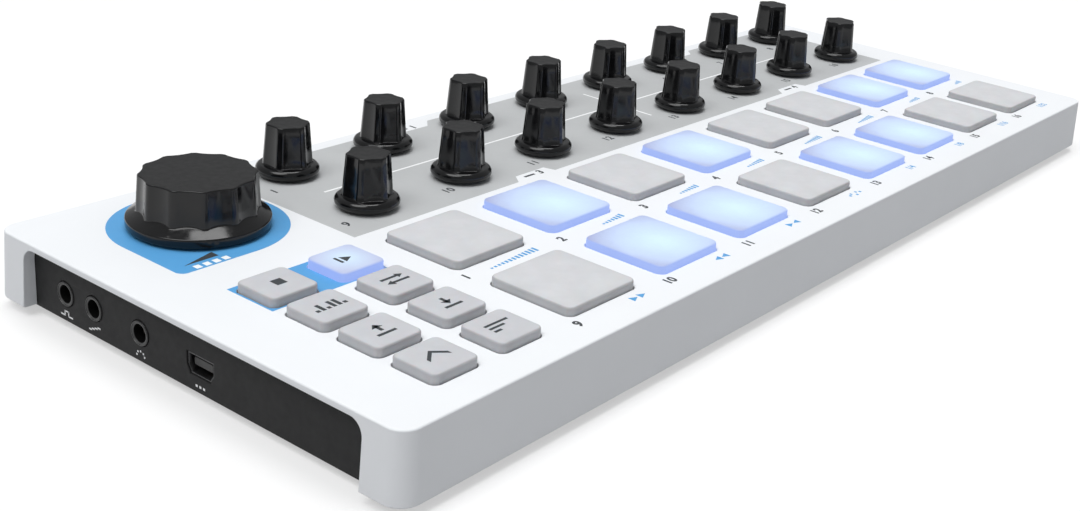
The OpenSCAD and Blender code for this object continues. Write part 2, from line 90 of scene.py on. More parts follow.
# Jack panel and its opening in the left wall
OPENING_W = 82.1
OPENING_R = 2.6
LINTEL_H = 1.2
OPENING_EDGE = 0.15
PANEL_LOW, PANEL_HIGH = node_box("jack_panel")
PANEL_FIT = 0.1
JACKS = ("gate_jack", "control_jack", "note_jack")
JACK_RING_R = 2.2
JACK_BORE_R = 1.6
JACK_BORE_L = 14.0

# Keys; pads and buttons share their play, top edge and height
PAD_OPEN = (18.5, 18.5)
PAD_CORNER_R = 1.5
BUTTON_OPEN = (10.2, 9.9)
BUTTON_CORNER_R = 1.25
KEY_GAP = 0.25
KEY_EDGE_R = 0.42
KEY_SIDE_H = 1.6  # from a key's top down to the top plate
KEY_FLANGE_T = 0.8
KEY_CROWN = 0.06
WELL_W = 9
WELL_H = 2.4
WELL_R = 0.3

# Knobs
BUSH_HOLE_R = 3.7
SHAFT_R = 3.0
SHAFT_SET = 3  # how far a shaft reaches into its knob
KNOB_LIFT = 0.4
KNOB_Z = TOP_Z + KNOB_LIFT
KNOB_FLAT_R = SHAFT_R + 0.4  # flat middle of a knob's underside
RING_POINTS = 144

# Underside
SCREW_HEAD_R = 2.2
SCREW_HOLE_R = 1.5

PADS = range(1, 17)
LIT_PADS = {2, 4, 7, 8, 10, 11, 13, 14}
BUTTONS = ("stop_button", "play_button", "sequence_button", "sync_button",
           "recall_button", "store_button", "shift_button", "channel_button")
LIT_BUTTON = "play_button"

# Print on the top plate: boxes are x0, x1, y0, y1; figures stand off a knob or a pad
INK_T = 0.008
MARK_LOW, MARK_HIGH = TOP_Z, TOP_Z + 2 * INK_T
FILM_HOLE_R = BUSH_HOLE_R + HOLE_EDGE + 0.02
KEY_FILM_GAP = 0.03
GREY_X = (-84.25, 114.7)
GREY_Y = (6.4, 45.57)
TAB_PITCH = 101.4
TAB_DEPTH = 2.6
FRONT_TAB = (-40.2, -38.2, -29.6, -28.8)
REAR_TAB = (-41.2, -39.0, -29.1, -26.6)
PATCH_CENTRE, PATCH_R, PATCH_CORNER_R = (-100.5, 28.4), 15.65, 1.6
BAND = (-114.2, -89.2, -7.5, 3.65)
LINES = ((-73.3, 106.5, 26.35, 26.85), (18.1, 18.6, 16.4, 26.3), (18.1, 18.6, 26.9, 37.2))
REAR_FIGURES = ((-7.9, -5.6), (-9.65, -11.8))
FRONT_FIGURES = ((-7.5, -3.85), (-9.7, -11.35))
NINE_BY_KNOB = (-8.8, -4.1)
MARK_DROP = 11.6  # from a pad's middle forward to its mark
LEVEL_WEDGE = ((-113.6, 15.4), (-106.6, 15.4), (-106.6, 17.3))
RATE_BARS = [(-112.6 + 1.9 * i, -111.4 + 1.9 * i, 13.2, 14.5) for i in range(4)]
SCALES = (range(13), (0, 2, 4, 5, 7, 9, 11), (0, 2, 3, 5, 7, 8, 10), (0, 2, 3, 5, 7, 9, 10),
          (0, 2, 4, 5, 7, 9, 10, 12), (0, 2, 3, 5, 7, 8, 11, 12), (0, 3, 5, 6, 7, 10),
          (0, 5, 7, 12))

# Looks
NOISE_LOW, NOISE_HIGH = 0.3, 0.7  # most of a noise texture lies between these
GRAIN_STRENGTH = 0.4
SHARP_DEG = 38
KNOB_SHARP_DEG = 30


def linear(red, green, blue):
    """Linear colour of an 8-bit screen colour."""
    def one(value):
        c = value / 255
        return c / 12.92 if c <= 0.04045 else ((c + 0.055) / 1.055) ** 2.4
    return one(red), one(green), one(blue)


class Surface:
    """Procedural material under construction: a Principled shader with its texture nodes."""

    def __init__(self, name, **sockets):
        self.material = bpy.data.materials.new(name)
        self.material.use_nodes = True
        self.tree = self.material.node_tree
        self.shader = self.tree.nodes["Principled BSDF"]
        self.place = self.node("ShaderNodeTexCoord").outputs["Object"]
        for socket, value in sockets.items():
            self.shader.inputs[socket.replace("_", " ")].default_value = value

    def node(self, kind, **settings):
        node = self.tree.nodes.new(kind)
        for name, value in settings.items():
            setattr(node, name, value)
        return node

    def link(self, output, socket):
        self.tree.links.new(output, socket)

    def noise(self, size, detail=3.0, stretch=(1, 1, 1)):
        """Noise with features of about this many millimetres."""
        scale = self.node("ShaderNodeMapping")
        scale.inputs["Scale"].default_value = stretch
        self.link(self.place, scale.inputs["Vector"])
        texture = self.node("ShaderNodeTexNoise")
        texture.inputs["Scale"].default_value = 1 / (size * MM)
        texture.inputs["Detail"].default_value = detail
        self.link(scale.outputs["Vector"], texture.inputs["Vector"])
        return texture.outputs["Fac"]

    def ramp(self, factor, stops):
        """Colour ramp from (position, linear colour) pairs."""
        node = self.node("ShaderNodeValToRGB")
        elements = node.color_ramp.elements
        while len(elements) < len(stops):
            elements.new(0.5)
        for element, (position, colour) in zip(elements, stops):
            element.position = position
            element.color = (*colour, 1)
        self.link(factor, node.inputs["Fac"])
        return node.outputs["Color"]

    def math(self, operation, *values):
        node = self.node("ShaderNodeMath", operation=operation)
        for socket, value in zip(node.inputs, values):
            if isinstance(value, (int, float)):
                socket.default_value = value
            else:
                self.link(value, socket)
        return node.outputs["Value"]

    def mottle(self, colour, spread, size, stretch=(1, 1, 1)):
        """Base colour that drifts a little lighter and darker over the surface."""
        dark = tuple(c * (1 - spread) for c in colour)
        light = tuple(min(1, c * (1 + spread)) for c in colour)
        drift = self.noise(size, stretch=stretch)
        self.link(self.ramp(drift, [(NOISE_LOW, dark), (NOISE_HIGH, light)]),
                  self.shader.inputs["Base Color"])
        return self

    def key_sides(self, top_z, upper, lower):
        """Painted shade: darkens the base colour down a key's sides, to upper under its edge and to
        lower at the plate.
        """
        split = self.node("ShaderNodeSeparateXYZ")
        self.link(self.place, split.inputs["Vector"])
        drop = self.math("SUBTRACT", top_z * MM, split.outputs["Z"])
        # shares of the painted shade along the drop from the key's top
        stops = ((0.03, 1), (0.13, upper), (1, lower))
        shade = self.ramp(self.math("DIVIDE", drop, KEY_SIDE_H * MM),
                          [(position, (share, share, share)) for position, share in stops])
        mix = self.node("ShaderNodeMix", data_type="RGBA", blend_type="MULTIPLY")
        mix.inputs["Factor"].default_value = 1
        base = self.shader.inputs["Base Color"]
        self.link(base.links[0].from_socket, mix.inputs["A"])
        self.link(shade, mix.inputs["B"])
        self.link(mix.outputs["Result"], base)
        return self

    def gloss(self, low, high, size):
        """Roughness that wanders between two values."""
        node = self.node("ShaderNodeMapRange")
        node.inputs["From Min"].default_value = NOISE_LOW
        node.inputs["From Max"].default_value = NOISE_HIGH
        node.inputs["To Min"].default_value = low
        node.inputs["To Max"].default_value = high
        self.link(self.noise(size), node.inputs["Value"])
        self.link(node.outputs["Result"], self.shader.inputs["Roughness"])
        return self

    def grain(self, size, depth):
        """Fine relief of a moulded or worked surface."""
        node = self.node("ShaderNodeBump")
        node.inputs["Strength"].default_value = GRAIN_STRENGTH
        node.inputs["Distance"].default_value = depth * MM
        self.link(self.noise(size, detail=2.0), node.inputs["Height"])
        self.link(node.outputs["Normal"], self.shader.inputs["Normal"])
        return self


def case_plastic():
    surface = Surface("case_plastic", Specular_IOR_Level=0.2)
    surface.mottle((0.845, 0.863, 0.885), 0.01, 18)
    return surface.gloss(0.5, 0.58, 2).grain(0.22, 0.008).material


def ink(name, colour):
    return Surface(name).mottle(colour, 0.02, 6).gloss(0.45, 0.6, 1.5).grain(0.2, 0.008).material


def dark_plastic(name, colour, rough, grain_depth, shine=0.5):
    surface = Surface(name, Specular_IOR_Level=shine)
    surface.mottle(colour, 0.07, 3).gloss(rough - 0.04, rough + 0.06, 1.2)
    return surface.grain(0.16, grain_depth).material


def steel(name, colour, rough=0.3):
    """Metal with fine level streaks."""
    surface = Surface(name, Metallic=1.0)
    surface.mottle(colour, 0.1, 0.4, (1, 1, 12))
    return surface.gloss(rough - 0.06, rough + 0.1, 0.8).grain(0.1, 0.004).material


def silicone(name, colour, top_z, upper, lower):
    """Milky rubber with faint cloudy patches, and painted shade down its sides."""
    surface = Surface(name, Subsurface_Weight=0.12, Subsurface_Scale=2 * MM)
    # painted shade down the key's sides, by the shares upper and lower
    surface.mottle(colour, 0.045, 5).key_sides(top_z, upper, lower)
    return surface.gloss(0.5, 0.62, 1).grain(0.18, 0.008).material


def lit_silicone(name, half, top_z, centre, middle, corner, side, lamp):
    """Silicone with a lamp under it: pale over the lamp, bluer at the edge and down the sides."""
    far, cloudiness = half * 1.6, 0.24
    side_drop, side_fade = 0.05, 0.3
    surface = Surface(name, Emission_Strength=1.0)
    surface.mottle((0.1, 0.11, 0.14), 0.08, 5).gloss(0.5, 0.62, 1).grain(0.18, 0.008)
    split = surface.node("ShaderNodeSeparateXYZ")
    surface.link(surface.place, split.inputs["Vector"])
    offsets = [surface.math("SUBTRACT", split.outputs[axis], place * MM)
               for axis, place in zip("XY", lamp)]
    squares = [surface.math("MULTIPLY", offset, offset) for offset in offsets]
    reach = surface.math("POWER", surface.math("ADD", *squares), 0.5)
    share = surface.math("DIVIDE", reach, far * MM)
    cloud = surface.math("MULTIPLY_ADD", surface.noise(6), cloudiness, -cloudiness / 2)
    top = surface.ramp(surface.math("ADD", share, cloud),
                       [(0.08, centre), (0.58, middle), (0.95, corner)])
    drop = surface.math("SUBTRACT", (top_z - side_drop) * MM, split.outputs["Z"])
    depth = surface.math("DIVIDE", drop, side_fade * MM)
    mix = surface.node("ShaderNodeMix", data_type="RGBA")
    surface.link(depth, mix.inputs["Factor"])
    surface.link(top, mix.inputs["A"])
    mix.inputs["B"].default_value = (*side, 1)
    surface.link(mix.outputs["Result"], surface.shader.inputs["Emission Color"])
    return surface.material


def board_green():
    """Solder mask with paler copper runs under it."""
    surface = Surface("circuit_board")
    runs = surface.node("ShaderNodeTexWave", wave_type="BANDS", bands_direction="DIAGONAL")
    runs.inputs["Scale"].default_value = 260
    runs.inputs["Distortion"].default_value = 3
    surface.link(surface.place, runs.inputs["Vector"])
    stops = [(0.72, (0.01, 0.07, 0.03)), (0.8, (0.03, 0.15, 0.07))]
    surface.link(surface.ramp(runs.outputs["Fac"], stops), surface.shader.inputs["Base Color"])
    return surface.gloss(0.25, 0.4, 1.5).material


class Solid:
    """Closed mesh under construction, in millimetres."""

    def __init__(self):
        self.bm = bmesh.new()

    def ring(self, points):
        return [self.bm.verts.new(p) for p in points]

    def bridge(self, a, b, paint=0):
        for i in range(len(a)):
            j = (i + 1) % len(a)
            self.bm.faces.new((a[i], a[j], b[j], b[i])).material_index = paint

    def cap(self, ring, paint=0):
        self.bm.faces.new(ring).material_index = paint

    def skin(self, rings, paint=0):
        """Bands between rings of points; returns the rings of vertices."""
        made = [self.ring(points) for points in rings]
        for a, b in zip(made, made[1:]):
            self.bridge(a, b, paint)
        return made

    def loft(self, rings, paint=0):
        """Closed body through rings of points, with flat ends."""
        made = self.skin(rings, paint)
        self.cap(made[0], paint)
        self.cap(made[-1], paint)

    def prism(self, outline, low, high):
        self.loft([[(x, y, z) for x, y in outline] for z in (low, high)])

    def fill(self, loops):
        """Flat face inside the first loop of vertices, with holes at the others."""
        edges = [self.bm.edges.get(pair)
                 for loop in loops for pair in zip(loop, loop[1:] + loop[:1])]
        bmesh.ops.triangle_fill(self.bm, use_beauty=True, edges=edges)

    def mesh(self, name, materials, matrix=None, sharp_deg=SHARP_DEG):
        """Finished mesh, in metres, turned by the matrix."""
        bmesh.ops.recalc_face_normals(self.bm, faces=self.bm.faces[:])
        self.bm.transform(Matrix.Scale(MM, 4) @ (matrix or Matrix.Identity(4)))
        mesh = bpy.data.meshes.new(name)
        self.bm.to_mesh(mesh)
        self.bm.free()
        for material in materials:
            mesh.materials.append(material)
        smooth(mesh, sharp_deg)
        return mesh


def smooth(mesh, sharp_deg):
    mesh.shade_smooth()
    mesh.set_sharp_from_angle(angle=math.radians(sharp_deg))


def lofted(name, rings, materials=()):
    """Mesh of one closed body through rings of points."""
    solid = Solid()
    solid.loft(rings)
    return solid.mesh(name, materials)


def placed(name, data):
    """New object in the scene."""
    obj = bpy.data.objects.new(name, data)
    bpy.context.scene.collection.objects.link(obj)
    return obj


def evaluated_mesh(obj):
    """New mesh of an object with its modifiers, or of a text."""
    return bpy.data.meshes.new_from_object(obj.evaluated_get(bpy.context.evaluated_depsgraph_get()))


def piece(mesh, name, body=CHASSIS, replaces=(), at=(0, 0, 0)):
    """Object of the finished model, riding on a body."""
    obj = placed(name, mesh)
    obj.location = Vector(at) * MM
    even = obj.modifiers.new("even_normals", "WEIGHTED_NORMAL")
    even.keep_sharp = True
    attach(obj, body)
    if replaces:
        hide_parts(*replaces)


def rounded(width, depth, radius, z, steps=8, centre=(0, 0)):
    """Rectangle with round corners, as a ring of points."""
    points = []
    for corner, (sx, sy) in enumerate(((1, 1), (-1, 1), (-1, -1), (1, -1))):
        for i in range(steps + 1):
            a = math.radians(90 * (corner + i / steps))
            points.append((centre[0] + sx * (width / 2 - radius) + radius * math.cos(a),
                           centre[1] + sy * (depth / 2 - radius) + radius * math.sin(a), z))
    return points


def inset_ring(width, depth, radius, inset, z, steps=8, centre=(0, 0)):
    """Rounded rectangle drawn in on every side."""
    return rounded(width - 2 * inset, depth - 2 * inset, radius - inset, z, steps, centre)


def circle(radius, z, centre=(0, 0), count=48):
    return [(centre[0] + radius * math.cos(2 * math.pi * i / count),
             centre[1] + radius * math.sin(2 * math.pi * i / count), z) for i in range(count)]


def quarter(radius, steps):
    """Insets and drops along a quarter-round edge, from the side to the top."""
    for i in range(steps + 1):
        a = math.radians(90 * i / steps)
        yield radius * (1 - math.cos(a)), radius * (1 - math.sin(a))


def hole(solid, ring_at, top, bottom, edge=HOLE_EDGE):
    """Wall of a hole with a round upper edge; ring_at(grow, z) gives its outline.

    Returns its upper and its lower ring of vertices.
    """
    rings = [ring_at(grow, top - drop) for grow, drop in reversed(list(quarter(edge, 3)))]
    made = solid.skin([*rings, ring_at(0, bottom)])
    return made[0], made[-1]


def key_hole(node, opening, corner):
    """Outline of a key's opening, as a function of its growth and height."""
    middle = node_middle(node)
    return lambda grow, z: rounded(opening[0] + 2 * grow, opening[1] + 2 * grow,
                                   corner + KEY_GAP + grow, z, centre=middle)


def pad_hole(node):
    return key_hole(node, PAD_OPEN, PAD_CORNER_R)


def button_hole(node):
    return key_hole(node, BUTTON_OPEN, BUTTON_CORNER_R)


def bush_hole(node):
    middle = node_middle(node)
    return lambda grow, z: circle(BUSH_HOLE_R + grow, z, middle)


def opening_ring(grow, depth):
    """Outline of the left opening at a depth behind the sloping wall, as points."""
    half, top, sill = OPENING_W / 2 + grow, TOP_Z - LINTEL_H + grow, CASE_Z - CUT_PAST
    radius, steps = OPENING_R + grow, 8
    flat = [(half, sill)]
    for start, side in ((0, 1), (90, -1)):
        for i in range(steps + 1):
            a = math.radians(start + 90 * i / steps)
            flat.append((side * (half - radius) + radius * math.cos(a),
                         top - radius + radius * math.sin(a)))
    flat.append((-half, sill))
    slope = DRAFT / (TOP_Z - EDGE_R - CASE_Z)
    return [(-CASE_L / 2 - slope * (TOP_Z - EDGE_R - z) + depth, y, z) for y, z in flat]


def cut(obj, cutter):
    """Takes the cutter mesh away from obj for good."""
    tool = placed("cutter", cutter)
    step = obj.modifiers.new("cut", "BOOLEAN")
    step.object = tool
    step.solver = "EXACT"
    result = evaluated_mesh(obj)
    obj.modifiers.remove(step)
    bpy.data.objects.remove(tool)
    obj.data = result


def case_mesh(plastic):
    """White shell: drafted walls, round top edge, and a hole for every key and bush."""
    solid = Solid()
    foot_l, foot_d, foot_r = CASE_L + 2 * DRAFT, CASE_D + 2 * DRAFT, CORNER_R + DRAFT
    rings = [rounded(INNER_L, INNER_D, INNER_R, CASE_Z)]
    rings += [inset_ring(foot_l, foot_d, foot_r, inset, CASE_Z + lift)
              for lift, inset in quarter(FOOT_R, 3)]
    rings += [inset_ring(CASE_L, CASE_D, CORNER_R, inset, TOP_Z - drop)
              for inset, drop in quarter(EDGE_R, 6)]
    outside = solid.skin(rings)
    inside = solid.ring(rounded(INNER_L, INNER_D, INNER_R, UNDER_Z))
    solid.bridge(inside, outside[0])
    holes = [pad_hole("pad_%d" % n) for n in PADS]
    holes += [button_hole(node) for node in BUTTONS]
    holes += [bush_hole(node) for node in ["level_knob", *("knob_%d" % n for n in PADS)]]
    ends = [hole(solid, ring_at, TOP_Z, UNDER_Z) for ring_at in holes]
    solid.fill([outside[-1], *(upper for upper, lower in ends)])
    solid.fill([inside, *(lower for upper, lower in ends)])
    return solid.mesh("case_shell", [plastic])


def opening_cutter():
    """Mesh that cuts the left opening, with a round outer edge, as far as the jack panel."""
    rings = [opening_ring(OPENING_EDGE, -CUT_PAST)]
    rings += [opening_ring(grow, depth) for depth, grow in quarter(OPENING_EDGE, 4)]
    rings.append([(PANEL_LOW.x, y, z) for x, y, z in opening_ring(0, 0)])
    return lofted("opening_cutter", rings)


def seat_cutter():
    """Mesh that cuts the jack panel's seat."""
    corner_r = 0.05
    middle = (PANEL_LOW + PANEL_HIGH) / 2
    width = PANEL_HIGH.x - PANEL_LOW.x + 2 * PANEL_FIT
    depth = PANEL_HIGH.y - PANEL_LOW.y + 2 * PANEL_FIT
    return lofted("seat_cutter", [rounded(width, depth, corner_r, z, 1, middle)
                                  for z in (CASE_Z - CUT_PAST, PANEL_HIGH.z + PANEL_FIT)])


def make_case(plastic):
    shell = placed("case_blank", case_mesh(plastic))
    cut(shell, opening_cutter())
    cut(shell, seat_cutter())
    result = shell.data
    bpy.data.objects.remove(shell)
    result.materials.clear()
    result.materials.append(plastic)
    smooth(result, SHARP_DEG)
    piece(result, "case_shell", replaces=["top_case"])


def key_mesh(name, node, opening, corner, materials, well=0):
    """Rubber key: flange under the top plate, straight sides, round edge and faintly crowned top.

    A pad also has a square well for its lamp in its underside.
    """
    low, high = node_box(node)
    width, depth, edge = opening[0] - 2 * KEY_GAP, opening[1] - 2 * KEY_GAP, KEY_EDGE_R
    flange_w, flange_d = high.x - low.x, high.y - low.y
    flange_top, edge_top = low.z + KEY_FLANGE_T, high.z - KEY_CROWN
    rings = [rounded(well, well, WELL_R, z) for z in (low.z + WELL_H, low.z)] if well else []
    rings += [rounded(flange_w, flange_d, corner, z) for z in (low.z, flange_top)]
    rings.append(rounded(width, depth, corner, flange_top))
    rings += [inset_ring(width, depth, corner, inset, edge_top - drop)
              for inset, drop in quarter(edge, 6)]
    flat_w, flat_d, flat_r = width - 2 * edge, depth - 2 * edge, corner - edge
    for share in (0.85, 0.6, 0.3, 0.1):
        lift = KEY_CROWN * (1 - share ** 2)
        rings.append(rounded(flat_w * share, flat_d * share, flat_r * share, edge_top + lift))
    return lofted(name, rings, materials)


def lobed(foot_r, sides, flute, curve_r):
    """Radius of a fluted grip at each angle, as a share of foot_r, with softened ridges."""
    soften = 0.05
    reach = foot_r - flute + curve_r
    pitch = 2 * math.pi / sides
    shares = []
    for i in range(RING_POINTS):
        off = (2 * math.pi * i / RING_POINTS) % pitch - pitch / 2
        bulge = math.sqrt(max(curve_r ** 2 - (reach * math.sin(off)) ** 2, 0))
        hollow = reach * math.cos(off) - bulge
        near = max(soften - abs(foot_r - hollow), 0) / soften
        shares.append((min(foot_r, hollow) - near * near * soften / 4) / foot_r)
    return shares


def fluted_ring(shares, radius, z, inset=0.0):
    """Ring of points along a fluted grip, drawn in by inset."""
    points = []
    for i, share in enumerate(shares):
        reach, a = radius * share - inset, 2 * math.pi * i / RING_POINTS
        points.append((reach * math.cos(a), reach * math.sin(a), z))
    return points


def knob_ring(radius, z):
    return circle(radius, z, count=RING_POINTS)


def grip_rings(shares, radius_at, low, high, edge, dish):
    """Fluted side from low to high, a round top edge and a slightly dished top."""
    steps, dish_run, middle_share = 4, 0.35, 0.5
    heights = [low + (high - edge - low) * i / steps for i in range(steps + 1)]
    rings = [fluted_ring(shares, radius_at(z), z) for z in heights]
    top_r = radius_at(high)
    for inset, drop in list(quarter(edge, 4))[1:]:
        rings.append(fluted_ring(shares, top_r, high - drop, inset))
    rings.append(fluted_ring(shares, top_r, high - dish, edge + dish_run))
    rings.append(fluted_ring(shares, top_r * middle_share, high - dish))
    return rings


def knob_mesh(name, node, rings, dish, first_ridge_deg, materials):
    """Closed knob through its rings: its top has the second material and its shaft the third."""
    low, high = node_box(node)
    solid = Solid()
    solid.loft(rings)
    for face in solid.bm.faces:
        if face.calc_center_median().z > high.z - 2 * dish:
            face.material_index = 1
    solid.loft([knob_ring(SHAFT_R, z) for z in (low.z, KNOB_Z + SHAFT_SET)], 2)
    turn = Matrix.Rotation(math.radians(first_ridge_deg), 4, "Z")
    return solid.mesh(name, materials, turn, KNOB_SHARP_DEG)


def small_knob_mesh(materials):
    """Tapered six-sided knob on a fat round flange."""
    flange_r, flange_h, foot_r, top_r = 6.15, 2.2, 4.95, 4.15
    fillet = ((0.2, 0.02), (0.06, 0.1))  # outwards and up, where the grip meets the flange
    grip_lift, edge, dish = 0.3, 0.3, 0.05
    high = node_box("knob_1")[1].z
    rim, shoulder, steps = flange_h / 2, KNOB_Z + flange_h, 12
    shares = lobed(foot_r, sides=6, flute=0.57, curve_r=9.0)

    def radius_at(z):
        return foot_r + (top_r - foot_r) * (z - KNOB_Z) / (high - KNOB_Z)

    rings = [knob_ring(KNOB_FLAT_R, KNOB_Z)]
    for i in range(steps + 1):
        a = math.radians(-90 + 180 * i / steps)
        rings.append(knob_ring(flange_r - rim + rim * math.cos(a),
                               KNOB_Z + rim + rim * math.sin(a)))
    rings += [fluted_ring(shares, radius_at(shoulder), shoulder + lift, -grow)
              for grow, lift in fillet]
    rings += grip_rings(shares, radius_at, shoulder + grip_lift, high, edge, dish)
    return knob_mesh("knob_cap", "knob_1", rings, dish, 30, materials)


def level_knob_mesh(materials):
    """Broad twelve-sided knob: a fluted grip that stands on a plain cone."""
    rim_r, rim_h, grip_r, top_r = 12.5, 1.8, 10.6, 10.2
    under_edge, over_edge, over_share = 0.5, 0.4, 0.6
    cone_r, cone_z, slope = rim_r - 0.35, KNOB_Z + rim_h + 0.1, 0.58
    fillet = ((0.9, 0), (0.22, 0), (0.07, 0.03), (0.02, 0.12), (0, 0.25))  # outwards and up
    grip_lift, edge, dish = 0.4, 0.3, 0.06
    high = node_box("level_knob")[1].z
    shares = lobed(grip_r, sides=12, flute=0.56, curve_r=9.0)
    grip_low = cone_z + slope * (cone_r - grip_r * min(shares)) + grip_lift

    def radius_at(z):
        return grip_r + (top_r - grip_r) * (z - grip_low) / (high - grip_low)

    def foot_ring(grow, lift):
        """Wavy line along which the grip meets the cone, moved outwards and up."""
        return [(x, y, cone_z + slope * (cone_r - math.hypot(x, y)) + lift)
                for x, y, _ in fluted_ring(shares, grip_r, 0, -grow)]

    rings = [knob_ring(KNOB_FLAT_R, KNOB_Z)]
    for inset, lift in list(quarter(under_edge, 4))[::-1]:
        rings.append(knob_ring(rim_r - inset, KNOB_Z + lift))
    for inset, drop in quarter(over_edge, 4):
        rings.append(knob_ring(rim_r - inset * over_share, KNOB_Z + rim_h - drop))
    rings.append(knob_ring(cone_r, cone_z))
    rings += [foot_ring(grow, lift) for grow, lift in fillet]
    rings += grip_rings(shares, radius_at, grip_low, high, edge, dish)
    return knob_mesh("level_knob_cap", "level_knob", rings, dish, -2.2, materials)


def make_knobs():
    side = dark_plastic("knob_plastic", (0.0045, 0.0045, 0.005), 0.12, 0.002, 0.4)
    top = dark_plastic("knob_top", (0.02, 0.02, 0.0205), 0.45, 0.012, 0.2)
    shaft = steel("shaft_steel", (0.55, 0.55, 0.55))
    small = small_knob_mesh([side, top, shaft])
    for n in PADS:
        node = "knob_%d" % n
        piece(small, "knob_cap_%d" % n, node, [node], plan_place(node))
    piece(level_knob_mesh([side, top, shaft]), "level_knob_cap", "level_knob",
          ["level_knob"], plan_place("level_knob"))


def make_keys():
    pad_top = node_box("pad_1")[1].z
    # the last two numbers are shares of painted shade on the pad sides: under the edge and at the
    # plate
    grey = silicone("pad_silicone", linear(205, 206, 209), pad_top, 0.66, 0.8)
    lit = lit_silicone("pad_lit", PAD_OPEN[0] / 2, pad_top, linear(204, 231, 244),
                       linear(187, 205, 236), linear(147, 152, 194), linear(143, 166, 229),
                       lamp=(0.9, -1.6))
    plain = key_mesh("pad_plain", "pad_1", PAD_OPEN, PAD_CORNER_R, [grey], WELL_W)
    bright = key_mesh("pad_bright", "pad_1", PAD_OPEN, PAD_CORNER_R, [lit], WELL_W)
    for n in PADS:
        node = "pad_%d" % n
        piece(bright if n in LIT_PADS else plain, "pad_cap_%d" % n, node, [node],
              plan_place(node))
    button_top = node_box(BUTTONS[0])[1].z
    # the last two numbers are shares of painted shade on the button sides: under the edge and at
    # the plate
    grey = silicone("button_silicone", linear(196, 197, 201), button_top, 0.72, 0.86)
    lit = lit_silicone("button_lit", BUTTON_OPEN[0] / 2, button_top, linear(200, 222, 240),
                       linear(184, 194, 222), linear(164, 168, 194), linear(140, 164, 230),
                       lamp=(0, 0))
    plain = key_mesh("button_plain", BUTTONS[0], BUTTON_OPEN, BUTTON_CORNER_R, [grey])
    bright = key_mesh("button_bright", BUTTONS[0], BUTTON_OPEN, BUTTON_CORNER_R, [lit])
    for node in BUTTONS:
        piece(bright if node == LIT_BUTTON else plain, node + "_cap", node,
              [node], plan_place(node))


def pierced(outline, holes, low, high, edge):
    """Plate between two heights; outline(inset, z) and each hole(grow, z) give rings of points."""
    solid = Solid()
    rings = [outline(0, low)]
    rings += [outline(inset, high - drop) for inset, drop in quarter(edge, 3)]
    made = solid.skin(rings)
    ends = [hole(solid, ring_at, high, low, edge) for ring_at in holes]
    solid.fill([made[-1], *(upper for upper, lower in ends)])
    solid.fill([made[0], *(lower for upper, lower in ends)])
    return solid


# Turns plates drawn flat so that their top faces the left end: flat x runs to the front and
# flat y runs up
TO_LEFT = Matrix(((0, 0, -1, 0), (-1, 0, 0, 0), (0, 1, 0, 0), (0, 0, 0, 1)))


def usb_ring(margin, z):
    """Outline of the data socket drawn flat: wide above, drawn in below."""
    low, high = node_box("usb_socket")
    half, step = (high.y - low.y) / 2 + margin, 0.7
    foot, middle = half - step, (low.y + high.y) / 2
    right = [(foot, low.z - margin), (foot, low.z + step / 2), (half, low.z + 2 * step),
             (half, high.z + margin)]
    left = [(-x, y) for x, y in reversed(right)]
    return [(x - middle, y, z) for x, y in right + left]


def make_panel():
    black = dark_plastic("panel_plastic", (0.028, 0.028, 0.0285), 0.55, 0.014, 0.12)
    corner_r, edge = 0.4, 0.12
    middle = (PANEL_LOW + PANEL_HIGH) / 2
    width, height = PANEL_HIGH.y - PANEL_LOW.y, PANEL_HIGH.z - PANEL_LOW.z

    def outline(inset, z):
        return rounded(width - 2 * inset, height - 2 * inset, corner_r, z, 3, (-middle.y, middle.z))

    def jack_hole(node):
        at = node_middle(node)
        return lambda grow, z: circle(JACK_RING_R + PANEL_FIT + grow, z, (-at.y, at.z))

    holes = [jack_hole(node) for node in JACKS]
    holes.append(lambda grow, z: usb_ring(PANEL_FIT + grow, z))
    solid = pierced(outline, holes, -PANEL_HIGH.x, -PANEL_LOW.x, edge)
    piece(solid.mesh("panel_face", [black], TO_LEFT), "panel_face",
          replaces=["jack_panel"])


def make_jacks():
    black = dark_plastic("socket_plastic", (0.028, 0.028, 0.0285), 0.36, 0.004)
    spring = steel("contact_steel", (0.5, 0.48, 0.42))
    # extra-dark material for the bore: painted shade in the deep hole, darker than the socket's own
    # plastic
    painted_bore_shade = dark_plastic("socket_bore_painted_shade", (0.004, 0.004, 0.004), 0.6, 0.004, 0.1)
    end_t, ring_edge = 0.4, 0.2
    body_h, body_r, bevel = 4.6, 0.3, 0.2
    # Radius and depth: recess round the mouth, and contact ring in the bore
    recess = ((1.98, 0), (1.92, 0.1), (JACK_BORE_R + 0.08, 0.12), (JACK_BORE_R, 0.2))
    contact = ((JACK_BORE_R - 0.02, 2.0), (JACK_BORE_R - 0.14, 2.2),
               (JACK_BORE_R - 0.14, 3.2), (JACK_BORE_R - 0.02, 3.4))
    for node in JACKS:
        low, high = node_box(node)
        at = node_middle(node)
        mouth, centre = -low.x, (-at.y, at.z)
        solid = Solid()
        rings = [circle(JACK_RING_R, mouth - JACK_BORE_L - end_t, centre)]
        rings += [circle(JACK_RING_R - inset, mouth - drop, centre)
                  for inset, drop in quarter(ring_edge, 4)]
        rings += [circle(r, mouth - depth, centre) for r, depth in recess]
        barrel = solid.skin(rings)
        solid.cap(barrel[0])
        bore_end = solid.ring(circle(JACK_BORE_R, mouth - JACK_BORE_L, centre))
        # the bore's wall and end take the painted shade material
        solid.bridge(barrel[-1], bore_end, 2)
        solid.cap(bore_end, 2)
        back, front = -high.x, -(PANEL_HIGH.x + PANEL_FIT)
        body = ((back, bevel), (back + bevel, 0), (front - bevel, 0), (front, bevel))
        solid.loft([rounded(high.y - low.y - 2 * inset, body_h - 2 * inset, body_r, z, 3, centre)
                    for z, inset in body])
        made = solid.skin([circle(r, mouth - depth, centre) for r, depth in contact], 1)
        solid.bridge(made[-1], made[0], 1)
        piece(solid.mesh(node + "_body", [black, spring, painted_bore_shade], TO_LEFT), node + "_body",
              replaces=[node])


